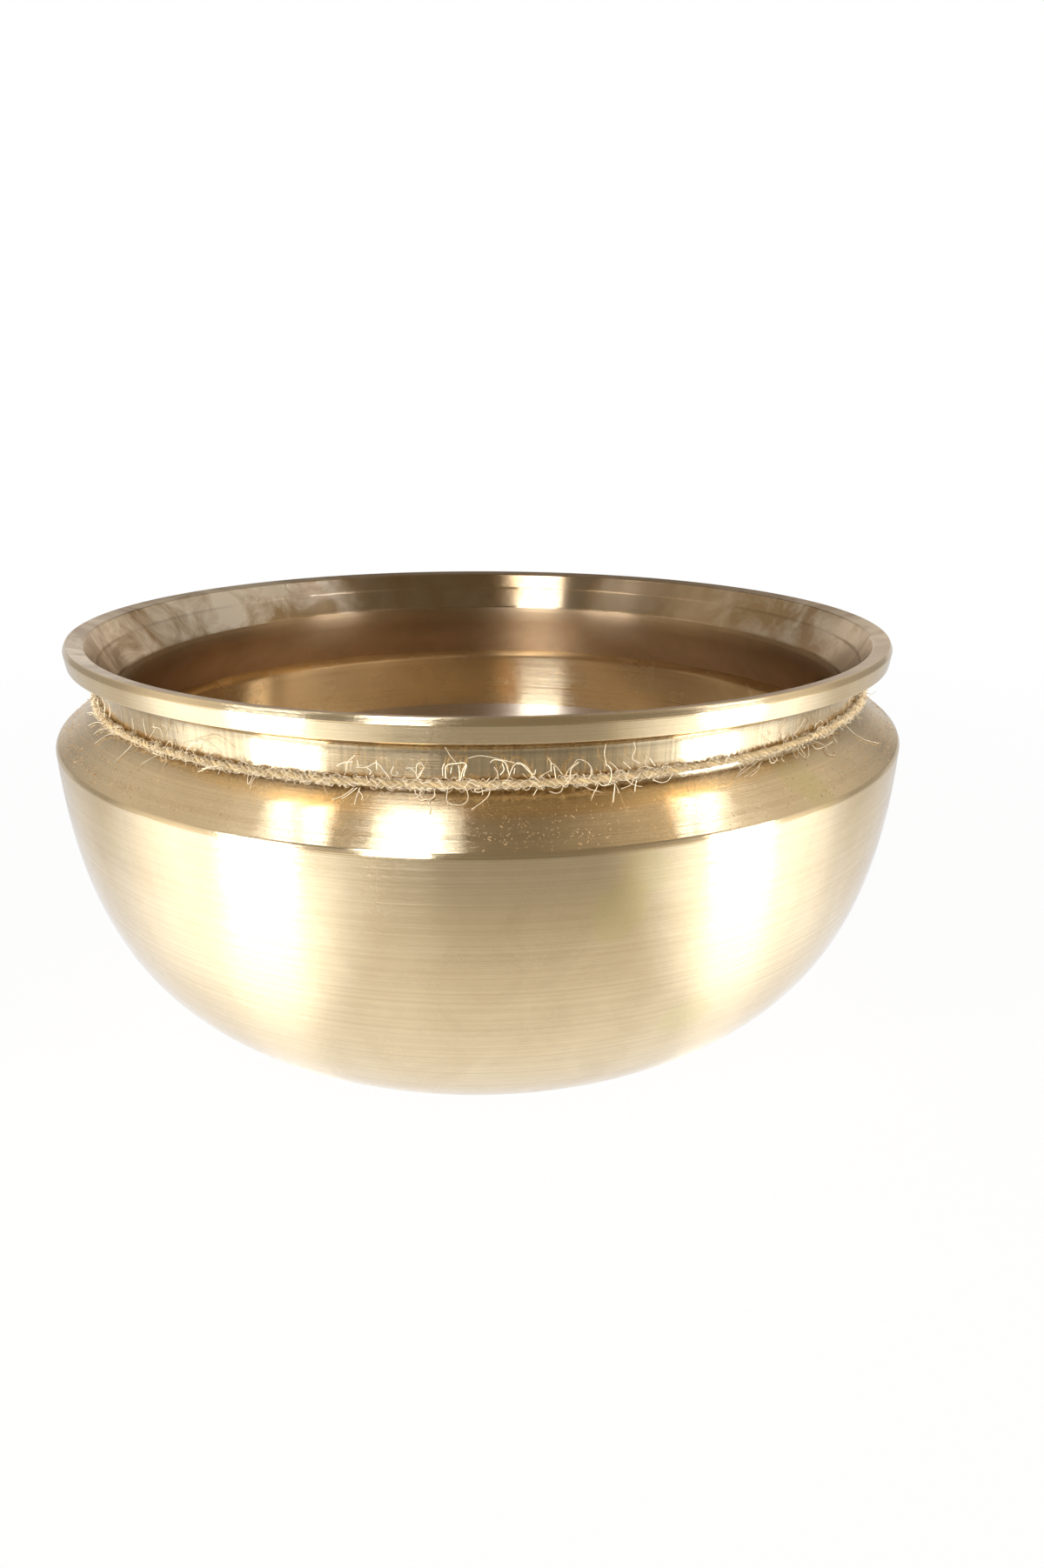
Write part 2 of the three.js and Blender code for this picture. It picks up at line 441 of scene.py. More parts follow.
        # Coats over the bare metal, the lowest first; between the feed marks the metal dulls
        coats = [(film, self.film)]
        if self.ring_shade:
            ramp = Ramp(*self.ring_edges, 0.0, self.ring_shade)
            coats.append((add_node(tree, "MapRange", ramp.inputs(rings)), self.film))
        # Painted reflection: darker upright streaks stand for the smeared reflection of the fibres
        if self.streaked:
            coats.append((self.streaked.share(tree, height, self.streaks(tree, level)), self.shade_and_streak_paint))
        coats += [(stain.share(tree, place, clouds), self.tarnish) for stain in self.stains]
        # Painted shade: these bands darken the metal in the hollows where shade falls
        coats += [(shade_band.share(tree, height, shade_band.strength), self.shade_and_streak_paint) for shade_band in self.shade_bands]
        colour = linear(self.metal)
        for share, coat in coats:
            mix = {0: share, 6: colour, 7: linear(coat)}
            colour = add_node(tree, "Mix", mix, output=2, data_type="RGBA")
        tangent = add_node(tree, "Tangent", direction_type="RADIAL", axis="Z")
        shader = add_node(tree, "BsdfPrincipled", {
            "Base Color": colour, "Metallic": 1.0, "Roughness": self.roughness(tree, profile, film),
            "Anisotropic": 1.0, "Anisotropic Rotation": 0.25, "Normal": bump, "Tangent": tangent,
        })
        add_node(tree, "OutputMaterial", {"Surface": shader}, output=None)
        return material


@dataclass(frozen=True)
class JuteFibre:
    """Undyed jute, retted and spun: dull pale straw in darker and paler bundles at random, the darker ones
    partly painted shade between the fibres.
    """

    name: str
    pale: str
    straw: str
    bundle_mm: float = 0.6
    bundle_depth_mm: float = 0.1
    least_shade: float = 0.2

    def make(self) -> bpy.types.Material:
        """Return the material."""
        material = blank_material(self.name)
        tree = material.node_tree
        place = add_node(tree, "TexCoord", output="Object")
        islands = add_node(tree, "NewGeometry", output="Random Per Island")

        # Bundles of fibre differ in shade, and so does each loose fibre
        noise = {"Vector": place, "Scale": 1 / (self.bundle_mm * MM), "Detail": 3.0}
        bundles = add_node(tree, "TexNoise", noise)
        shade = add_node(
            tree, "Math", {0: bundles, 1: islands, 2: self.least_shade}, operation="MULTIPLY_ADD"
        )
        mix = {0: shade, 6: linear(self.pale), 7: linear(self.straw)}
        colour = add_node(tree, "Mix", mix, output=2, data_type="RGBA")
        bump = add_node(tree, "Bump", {"Height": bundles, "Distance": self.bundle_depth_mm * MM})
        shader = add_node(tree, "BsdfPrincipled", {
            "Base Color": colour, "Roughness": 0.85, "IOR": 1.53, "Sheen Weight": 0.25, "Normal": bump,
        })
        add_node(tree, "OutputMaterial", {"Surface": shader}, output=None)
        return material


@dataclass(frozen=True)
class PaperFloor:
    """Matt white background paper, which shows white to the camera and keeps the shadow.

    In the metal it fades away from the bowl, most of all towards the camera, and is bright by the lamps.
    """

    paper: str = "#F4F2EE"
    lamp_tint: str = "#E6EFFF"
    uplight: float = 0.9
    own_light: Ramp = Ramp(0.25, 0.7, 0.94, 1.0)
    front: Ramp = Ramp(-0.27, -0.12, 0.55, 1.25)
    round_about: Ramp = Ramp(0.13, 0.42, 1.0, 0.54)
    dark_heading: float = 0.06
    by_lamp: Ramp = Ramp(0.27, 0.64, 0.25, 2.4)
    beside: Ramp = Ramp(-0.45, -0.2, 0.22, 1.0)
    behind: Ramp = Ramp(-0.13, 0.03, 1.0, 0.18)
    by_foot: Ramp = Ramp(0.1, 0.19, 0.5, 1.0)
    blend: float = 0.4
    cool: Ramp = Ramp(0.6, 1.3, 0.0, 1.0)

    def in_metal(self, tree: Tree, place: Socket, reach: Socket) -> Socket:
        """Light the paper as the metal mirrors it.

        Args:
            tree: node tree of the material.
            place: where on the paper.
            reach: distance from the bowl's axis.

        Returns:
            Brightness.
        """
        depth = add_node(tree, "SeparateXYZ", {0: place}, output="Y")
        front = add_node(tree, "MapRange", self.front.inputs(depth))
        round_about = add_node(tree, "MapRange", self.round_about.inputs(reach))
        fade = add_node(tree, "Math", {0: front, 1: round_about}, operation="MULTIPLY")
        heading = add_node(tree, "VectorMath", {0: place}, operation="NORMALIZE")
        sideways = add_node(tree, "SeparateXYZ", {0: heading}, output="X")
        aside = apart(tree, sideways, self.dark_heading)
        lit = add_node(tree, "MapRange", self.by_lamp.inputs(aside), **SMOOTH)
        beside = add_node(tree, "MapRange", self.beside.inputs(depth))
        behind = add_node(tree, "MapRange", {**self.behind.inputs(depth), 3: beside})
        by_foot = add_node(tree, "MapRange", self.by_foot.inputs(reach), **SMOOTH)
        for share in (behind, by_foot):
            lit = add_node(tree, "Math", {0: lit, 1: share}, operation="MULTIPLY")
        return add_node(tree, "Math", {0: fade, 1: lit, 2: self.blend}, operation="SMOOTH_MAX")

    def make(self) -> bpy.types.Material:
        """Return the material."""
        material = blank_material("matt_background_paper")
        tree = material.node_tree
        rays = add_node(tree, "LightPath").node.outputs
        place = add_node(tree, "TexCoord", output="Object")
        reach = add_node(tree, "VectorMath", {0: place}, output="Value", operation="LENGTH")
        level = mirrored = self.in_metal(tree, place, reach)
        for ray, light in (("Is Diffuse Ray", self.uplight), ("Is Camera Ray", 1.0)):
            level = add_node(tree, "Mix", {0: rays[ray], 2: level, 3: light})
        direct = {0: rays["Is Camera Ray"], 1: rays["Is Diffuse Ray"]}
        plain = add_node(tree, "Math", direct, operation="MAXIMUM")
        cool = add_node(tree, "MapRange", self.cool.inputs(mirrored))
        cool = add_node(tree, "Mix", {0: plain, 2: cool, 3: 0.0})
        mix = {0: cool, 6: WHITE, 7: linear(self.lamp_tint)}
        hue = add_node(tree, "Mix", mix, output=2, data_type="RGBA")
        light = add_node(tree, "Emission", {"Color": hue, "Strength": level})
        paper = add_node(tree, "BsdfDiffuse", {"Color": linear(self.paper)})
        own = add_node(tree, "MapRange", self.own_light.inputs(reach))
        mixed = add_node(tree, "MixShader", {0: own, 1: paper, 2: light})
        add_node(tree, "OutputMaterial", {"Surface": mixed}, output=None)
        return material


@dataclass
class Bowl:
    """The cast and turned bowl, one piece of bronze; sizes in millimetres."""

    height: float = 124.0
    base_radius: float = 51.0
    neck_radius: float = 119.1
    lip_radius: float = 127.0
    shoulder_radius: float = 132.4
    lip_chamfer_drop: float = 1.6
    lip_chamfer_width: float = 0.8
    rim_face_drop: float = 5.8
    rim_face_inset: float = 0.5
    rim_foot_rounding: float = 0.3
    cove_height: float = 4.0
    neck_foot_drop: float = 18.2
    neck_fillet: float = 0.8
    shoulder_drop: float = 28.2
    shoulder_flat: float = 0.7
    edge_rounding: float = 0.25
    belly_base_pull: float = 63.0
    belly_side_pull: float = 58.5
    wall: float = 3.5
    land_width: float = 4.6
    land_fall: float = 0.9
    land_rounding: float = 0.5
    flare_break_drop: float = 6.4
    flare_break_inset: float = 4.0
    flare_step_drop: float = 0.8
    flare_step_width: float = 0.25
    flare_step_rounding: float = 0.3
    throat_radius: float = 114.6
    throat_drop: float = 15.0
    throat_edge_rounding: float = 1.5
    throat_rounding: float = 3.0
    hollow_drop: float = 38.5
    inner_rounding: float = 2.5
    belly_steps: int = 72
    cove_steps: int = 14
    rounding_steps: int = 5
    steps_round: int = 256
    weld: float = 0.002

    @property
    def neck_foot(self) -> Vector:
        """Corner of the neck and the shoulder, as radius and height."""
        return Vector((self.neck_radius, self.height - self.neck_foot_drop))

    @property
    def shoulder_edge(self) -> Vector:
        """Outer edge of the shoulder, as radius and height."""
        return Vector((self.shoulder_radius, self.height - self.shoulder_drop))

    @property
    def slope(self) -> Vector:
        """Unit vector down the shoulder."""
        return (self.shoulder_edge - self.neck_foot).normalized()

    @property
    def land_radius(self) -> float:
        """Radius of the outer edge of the lip's land."""
        return self.lip_radius - self.lip_chamfer_width

    def slope_radius(self, height: float) -> float:
        """Return the shoulder's radius at a height."""
        return self.neck_foot.x + (height - self.neck_foot.y) * self.slope.x / self.slope.y

    def belly(self) -> list[Vector]:
        """Return points of the outer belly, from the edge of the base up to the shoulder's flat."""
        top = self.shoulder_edge.y - self.shoulder_flat
        ends = (
            (self.base_radius, 0.0), (self.base_radius + self.belly_base_pull, 0.0),
            (self.shoulder_radius, top - self.belly_side_pull), (self.shoulder_radius, top),
        )
        curve = interpolate_bezier(*(Vector((r, z, 0)) for r, z in ends), self.belly_steps)
        return [point.to_2d() for point in curve]

    def cove(self) -> list[Vector]:
        """Return points of the hollow curve from the neck up and out to the foot of the rim."""
        foot_radius = self.lip_radius - self.rim_face_inset
        width = foot_radius - self.neck_radius
        top = self.height - self.rim_face_drop
        points = []
        for share in shares(self.cove_steps):
            angle = math.pi / 2 * share
            rise = self.cove_height * (1 - math.sin(angle))
            points.append(Vector((foot_radius - width * math.cos(angle), top - rise)))
        return points

    def mouth(self) -> list[tuple[Vector, float]]:
        """Return the corners of the lip's land and the flared mouth with the rounding of each."""
        top = self.height
        ridge_radius = self.throat_radius + self.flare_break_inset
        ridge_height = top - self.flare_break_drop
        half = self.flare_step_width / 2
        third = self.flare_step_drop / 3
        return [
            (Vector((self.lip_radius, top - self.lip_chamfer_drop)), self.edge_rounding),
            (Vector((self.land_radius, top)), self.edge_rounding),
            (Vector((self.land_radius - self.land_width, top - self.land_fall)), self.land_rounding),
            (Vector((ridge_radius + half, ridge_height + third)), self.flare_step_rounding),
            (Vector((ridge_radius - half, ridge_height - 2 * third)), self.flare_step_rounding),
            (Vector((self.throat_radius, top - self.throat_drop)), self.throat_edge_rounding),
        ]

    def corners(self) -> list[tuple[Vector, float]]:
        """Return all corners with the rounding of each, from the base up, over the lip and back down."""
        belly = self.belly()
        cove = self.cove()
        slope = self.slope
        throat = self.neck_foot + slope * ((self.throat_radius - self.neck_radius) / slope.x)
        throat.y -= self.wall / slope.x
        inside = []
        for before, here, after in zip(belly, belly[1:], belly[2:]):
            along = (after - before).normalized()
            inside.append(here + Vector((-along.y, along.x)) * self.wall)
        crease = self.height - self.hollow_drop
        hollow = min(inside, key=lambda point: abs(point.y - crease))
        inside = [point for point in reversed(inside) if point.y < crease - self.inner_rounding]
        return [
            (Vector((0, 0)), 0.0),
            *((point, 0.0) for point in belly[:-1]),
            (belly[-1], self.edge_rounding),
            (self.shoulder_edge - slope * self.shoulder_flat, self.edge_rounding),
            (self.neck_foot, self.neck_fillet),
            *((point, 0.0) for point in cove[:-1]),
            (cove[-1], self.rim_foot_rounding),
            *self.mouth(),
            (throat, self.throat_rounding),
            (hollow, self.inner_rounding),
            *((point, 0.0) for point in inside),
            (Vector((0, self.wall)), 0.0),
        ]

    def mesh(self) -> bpy.types.Mesh:
        """Return the bowl's mesh, its profile spun about the axis."""
        bm = bmesh.new()
        rounded: dict[float, list[bmesh.types.BMVert]] = {}
        last = None
        for point, rounding in self.corners():
            vert = bm.verts.new((point.x * MM, 0, point.y * MM))
            if last is not None:
                bm.edges.new((last, vert))
            if rounding:
                rounded.setdefault(rounding, []).append(vert)
            last = vert
        for rounding, verts in rounded.items():
            bmesh.ops.bevel(
                bm, geom=verts, offset=rounding * MM, offset_type="OFFSET", segments=self.rounding_steps,
                profile=0.5, affect="VERTICES", material=-1,
            )
        bmesh.ops.spin(
            bm, geom=bm.verts[:] + bm.edges[:], cent=(0, 0, 0), axis=(0, 0, 1), angle=2 * math.pi,
            steps=self.steps_round, use_merge=True,
        )
        bmesh.ops.remove_doubles(bm, verts=bm.verts[:], dist=self.weld * MM)
        bmesh.ops.recalc_face_normals(bm, faces=bm.faces[:])
        for face in bm.faces:
            middle = face.calc_center_median()
            inwards = face.normal.dot(middle.to_2d().to_3d()) < -1e-6 or face.normal.z > 0.99
            if inwards and middle.to_2d().length < self.land_radius * MM:
                drop = self.height - middle.z / MM
                face.material_index = 1 if drop < self.throat_drop else 2 if drop < self.hollow_drop else 3
        mesh = bpy.data.meshes.new("bowl")
        bm.to_mesh(mesh)
        bm.free()
        mesh.shade_smooth()
        return mesh

    def build(self, *finishes: TurnedBronze) -> bpy.types.Object:
        """Build the bowl and dress it.

        Args:
            finishes: the bronze of the outside, of the lip's land and the flared mouth, of the cone under
                the shoulder, and of the inside below it.

        Returns:
            The piece.
        """
        piece = new_piece("turned_bowl", self.mesh(), *(finish.make() for finish in finishes))
        shading = piece.modifiers.new("even_shading", "WEIGHTED_NORMAL")
        shading.weight = 50
        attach(piece, "root")
        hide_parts("bowl")
        return piece

    def lift_clear(self, point: Vector, gap: float) -> Vector:
        """Move a point out of the bowl's neck and shoulder.

        Args:
            point: a point near the neck, in metres.
            gap: least distance to the metal, in millimetres.

        Returns:
            The point, or the nearest one that is clear, in metres.
        """
        angle = math.atan2(point.y, point.x)
        spot = Vector((math.hypot(point.x, point.y), point.z)) / MM
        away = Vector((-self.slope.y, self.slope.x))
        spot += away * max(0.0, gap - (spot - self.neck_foot).dot(away))
        spot.x = max(spot.x, self.neck_radius + gap)
        return round_axis(spot.x, angle, spot.y)


# Loose fibres on the front of the twine: angle from the front in degrees, and height above the base
# in millimetres, point by point
FRONT_FIBRES: tuple[tuple[Span, ...], ...] = (
    ((-13.3, 110.8), (-12.1, 111), (-11.1, 112.1), (-10.3, 110.3), (-9.7, 108.5)),
    ((-14.4, 109.9), (-14.2, 111.7), (-13.3, 113.6)),
    ((-13.9, 109.8), (-13.7, 112.6)),
    ((-13, 110.7), (-13.1, 112.5)),
    ((-15.4, 110.7), (-14.7, 111.6), (-13.6, 112)),
    ((-12.1, 110.8), (-11.7, 110.1), (-11.9, 109.3)),
    ((-11.1, 112.7), (-11.1, 110.6)),
    ((-9.3, 111.5), (-9.6, 110.1), (-9.4, 109.4), (-8.9, 109.8), (-9.1, 110.4)),
    ((-8, 111.1), (-7.6, 111.3), (-7.1, 110.3), (-6.9, 109)),
    ((-7, 110.2), (-6.9, 112.1), (-6.5, 112.4), (-6.2, 111.4), (-6.8, 109.8)),
    ((-6.9, 109), (-6.6, 109.8), (-6.4, 110.8)),
    ((-13.7, 106), (-14.4, 104.7), (-15, 103.7), (-15.8, 103.2)),
    ((-13.3, 106.1), (-14.2, 104.4), (-14.8, 103.4)),
    ((-13, 106.1), (-13.3, 104.1), (-13.3, 102.7)),
    ((-13.1, 105.3), (-12.7, 104.1), (-12.7, 103.5)),
    ((-7.2, 106.4), (-7.1, 105.4), (-6.8, 105), (-7.3, 104.2)),
    ((-6.5, 106.2), (-6.7, 105.2), (-6.2, 104.1), (-5.7, 104), (-5.2, 105.1), (-5.2, 106.5)),
    ((-5.2, 105.1), (-5.7, 103.7), (-5.5, 102.9), (-5.5, 102)),
    ((-7, 104.6), (-6.6, 103.9), (-6, 104.1)),
    ((-4.3, 109.7), (-4.3, 111.5), (-4.1, 112.5)),
    (
        (-4, 109.1), (-4, 111.5), (-3.7, 112.3), (-2.9, 112.5),
        (-2.2, 112.7), (-1.9, 112.1), (-2.1, 110.8), (-2.2, 109.6),
    ),
    ((-3.5, 110.3), (-3.4, 111.7)),
    ((-2.6, 108.4), (-2.6, 110.4), (-2.7, 112.1)),
    ((-2.5, 108.8), (-2.3, 110.8), (-2, 112.1)),
    ((-2.9, 112.7), (-3.5, 114.2), (-4, 116.2)),
    ((-1.7, 113.7), (-0.6, 114.3), (0.6, 113.9), (1.7, 113.3), (3, 112.6)),
    ((0.5, 112.7), (0.8, 113.3), (1.3, 113.3), (2, 112.7), (2.4, 110.1)),
    ((0.9, 111.7), (1.2, 110.7), (1.3, 109.2)),
    ((1.5, 109.9), (1.9, 111.1), (1.7, 112.5)),
    ((2.4, 109.5), (2.7, 111.3), (3.1, 112.4), (3.5, 112.6), (4.3, 111.4), (4.9, 109)),
    ((3.1, 112.4), (3.7, 112.2), (4.5, 110.4), (5, 109.9), (5.1, 110.9)),
    ((2.9, 110.1), (3, 111.4)),
    ((6.4, 113.4), (6.7, 112.4), (7.3, 111.3), (7.9, 109.5)),
    ((6.7, 112.4), (6.7, 110.4)),
    ((7, 111.5), (7.2, 108.7)),
    ((8.2, 108.6), (8.4, 110.2), (9, 111.5), (9.5, 112.8), (10.5, 111.9), (11, 110.4), (11.1, 109)),
    ((8.7, 108.4), (8.8, 110.7), (9.6, 112.2)),
    ((-3.8, 107), (-3.9, 103.8), (-3.1, 103.3), (-2.3, 103.4), (-1.8, 104.1), (-1.8, 105.8), (-2.1, 107.2)),
    ((0.5, 106.8), (0.3, 105.2), (-0.4, 103.7), (-1.4, 102.6)),
    ((-0.9, 106.8), (-1.1, 106.4), (-0.8, 106), (-0.4, 106.2), (0.3, 106.8)),
    ((5.3, 106.5), (4.9, 105)),
    ((8, 106.9), (7.8, 105.7), (7.3, 105.3), (6.6, 105.8)),
    ((10.1, 109.4), (10.4, 108.1), (10.9, 108.9), (10.9, 110.5)),
    ((12.4, 115.8), (12.3, 113.6), (12.6, 110.8)),
    ((12.9, 111.7), (13.5, 110.6), (13.9, 109.6)),
    ((14.4, 111.5), (15.3, 109.7)),
    ((15.5, 115.8), (15.7, 114), (15.4, 112.1), (16.3, 110.7)),
    ((17, 112.2), (16.9, 110.6), (17.5, 109.4)),
    ((17.4, 111.7), (18.1, 109.7)),
    ((11.3, 107.6), (11.7, 106.7), (11.3, 104.8), (10.9, 103.5)),
    ((13.6, 106.6), (13.5, 104.3), (13.1, 102.8)),
    ((13.7, 106.2), (14, 104.7), (14, 104.1)),
    ((15.7, 107.2), (15.4, 106), (14.3, 105.2)),
    ((16, 106.9), (15.9, 105.5), (15.8, 104.1)),
    ((20.2, 107.3), (19.8, 106), (19, 105.6), (17.9, 106.5)),
    ((12.7, 111), (13.1, 109.9), (13.1, 107.9), (12.8, 106.5), (12.2, 106.4), (11.8, 107.1)),
    ((-52.6, 105.8), (-55, 103.8), (-55.5, 101.9)),
    ((-46.6, 105.7), (-47.4, 103.6), (-47.6, 101.4)),
    (
        (-36.2, 109.2), (-35.3, 110.8), (-34.2, 111.6), (-32.9, 112.5),
        (-31.8, 112.6), (-30.5, 111.6), (-29.5, 110.2),
    ),
    ((-35.1, 109.2), (-33.8, 111.1), (-32.4, 111.8), (-31, 110.8)),
    ((-45.6, 110), (-45.6, 111.5), (-45.6, 113.1)),
    ((-42.7, 109.6), (-42.9, 111.8), (-43, 113.7)),
    ((-42, 109.5), (-40.6, 112.2), (-40.8, 113.4)),
    ((-39.2, 110.6), (-39.5, 112.6), (-41.1, 112.5)),
    ((-38.1, 111.4), (-38.1, 113.2), (-39.1, 113.9)),
    ((-55.9, 109.2), (-54.4, 112.3), (-55.5, 114.1)),
    ((-53.1, 109.8), (-52.4, 113.1), (-53.2, 114.2)),
    ((-59.8, 106.6), (-66.8, 104.3), (-69.1, 103)),
    ((-57.2, 106.2), (-61.8, 104), (-62.8, 102.7)),
    ((-55.6, 105.5), (-58.2, 103.7), (-58.4, 102.6)),
    ((-39.6, 106.5), (-40.3, 104.9)),
    ((-31.2, 106.8), (-32.3, 105.5), (-33.4, 104.2)),
    ((-30.1, 107.1), (-31.5, 106.2), (-32.9, 105.3)),
    ((-30, 106.3), (-30.4, 104.9)),
    ((40.1, 114.3), (39.5, 112.7), (38.4, 111.2)),
    ((38.2, 110.2), (38.3, 112.3), (39.1, 112.9)),
    ((42.9, 111.8), (44.1, 112.2), (44.7, 110.8), (43.6, 110.6)),
    ((42.6, 110.6), (42.9, 111.8)),
    ((45.2, 112.2), (46.1, 110.4), (45.3, 109.9)),
    ((35.9, 111.7), (36.3, 110.7), (36.5, 111.7)),
    ((41.5, 107), (41.9, 104.5), (40.7, 103.6)),
    ((42.4, 106.6), (43.6, 104.9), (45.4, 104.4), (48.2, 104.6)),
    ((46.3, 105), (45.3, 103.5), (45.3, 102.8), (46.2, 102.3), (47.3, 102.9)),
    ((48.2, 106.2), (48.9, 103.8)),
    ((52.8, 106.7), (55, 103.2), (56, 101.5), (58.7, 99.4)),
    ((32.8, 106.2), (31.7, 104.5), (29.6, 103.6)),
    ((32.4, 105.9), (32.2, 104.3), (30.6, 103.5)),
    ((32, 106.5), (30.4, 105.1), (28.4, 103.7)),
    ((31.6, 107), (30.3, 106), (29, 104.4)),
    ((35.4, 106), (35.1, 105.2), (34.4, 105.3), (34, 106.6)),
    ((36.5, 106.5), (36.2, 105.7), (36.8, 104.6)),
)


class FibreLay(Enum):
    """How a loose fibre stands on the twine."""

    HUGGING = "lies along the twine"
    STRAY = "stands off with a free end"
    LOOP = "leaves the twine and comes back"
    CURL = "winds like a spring"


FIBRE_COUNTS = {FibreLay.HUGGING: 4200, FibreLay.STRAY: 1300, FibreLay.LOOP: 200, FibreLay.CURL: 150}


@dataclass
class LooseFibre:
    """Directions at the root of a loose fibre, and the spans its shape is drawn from; in millimetres."""

    out: Vector
    along: Vector
    across: Vector
    surface: float
    rng: random.Random
    root_share: float = 0.8
    hug_points: int = 4
    hug_length: Span = (1.0, 2.8)
    hug_swing: Span = (-1.6, 1.6)
    hug_rise: Span = (0.15, 1.0)
    stray_least: float = 0.7
    stray_most: float = 6.0
    stray_rate: float = 0.7
    stray_along: Span = (-0.2, 1.6)
    stray_across: Span = (-0.8, 0.8)
    stray_bend: Span = (0.05, 0.22)
    stray_steps: int = 6
    loop_points: int = 11
    loop_width: Span = (0.8, 3.2)
    loop_reach: Span = (0.8, 3.4)
    loop_lean: Span = (-0.6, 0.6)
    loop_fullness: float = 0.8
    loop_belly: float = 0.5
    curl_points: int = 13
    curl_turns: Span = (1.0, 2.2)
    curl_ring: Span = (0.3, 0.75)
    curl_reach: Span = (0.6, 2.0)
    curl_run: Span = (0.2, 1.4)

    def hugging(self) -> list[Vector]:
        """Return points of a fibre that lies along the twine."""
        length = self.rng.uniform(*self.hug_length)
        swing = self.rng.uniform(*self.hug_swing)
        rise = self.rng.uniform(*self.hug_rise)
        spots = []
        for share in shares(self.hug_points):
            angle = swing * length * (share - 0.5)
            lift = self.surface + rise * math.sin(math.pi * share)
            ring = self.out * math.cos(angle) + self.across * math.sin(angle)
            spots.append(ring * lift + self.along * length * (share - 0.5))
        return spots

    def stray(self) -> list[Vector]:
        """Return points of a fibre that stands off with a free end."""
        rng = self.rng
        length = min(self.stray_most, self.stray_least + rng.expovariate(self.stray_rate))
        heading = self.out + self.along * rng.uniform(*self.stray_along)
        heading = (heading + self.across * rng.uniform(*self.stray_across)).normalized()
        bend = self.across * rng.uniform(-1, 1) + self.along * rng.uniform(-1, 1)
        bend *= rng.uniform(*self.stray_bend)
        step = length / self.stray_steps
        spots = [self.out * self.surface * self.root_share]
        for _ in range(self.stray_steps):
            spots.append(spots[-1] + heading * step)
            heading = (heading + bend * step).normalized()
        return spots

    def loop(self) -> list[Vector]:
        """Return points of a fibre that leaves the twine and comes back."""
        width = self.rng.uniform(*self.loop_width)
        reach = self.rng.uniform(*self.loop_reach)
        lean = self.rng.uniform(*self.loop_lean)
        spots = []
        for share in shares(self.loop_points):
            swell = math.sin(math.pi * share)
            lift = self.surface * self.root_share + reach * swell ** self.loop_fullness
            run = width * (share - 0.5) * (1 + self.loop_belly * swell)
            spots.append(self.out * lift + self.across * lean * reach * swell + self.along * run)
        return spots

    def curl(self) -> list[Vector]:
        """Return points of a fibre that winds like a spring."""
        turns = self.rng.uniform(*self.curl_turns)
        ring = self.rng.uniform(*self.curl_ring)
        reach = self.rng.uniform(*self.curl_reach)
        run = self.rng.uniform(*self.curl_run)
        spots = []
        for share in shares(self.curl_points):
            angle = 2 * math.pi * turns * share
            lift = self.surface * self.root_share + reach * share + ring * math.sin(angle)
            spots.append(self.out * lift + self.along * (run * share + ring * (1 - math.cos(angle))))
        return spots

    def spots(self, lay: FibreLay) -> list[Vector]:
        """Return points of a fibre with a given lay, from its root."""
        kinds = {
            FibreLay.HUGGING: self.hugging, FibreLay.STRAY: self.stray, FibreLay.LOOP: self.loop,
            FibreLay.CURL: self.curl,
        }
        return kinds[lay]()


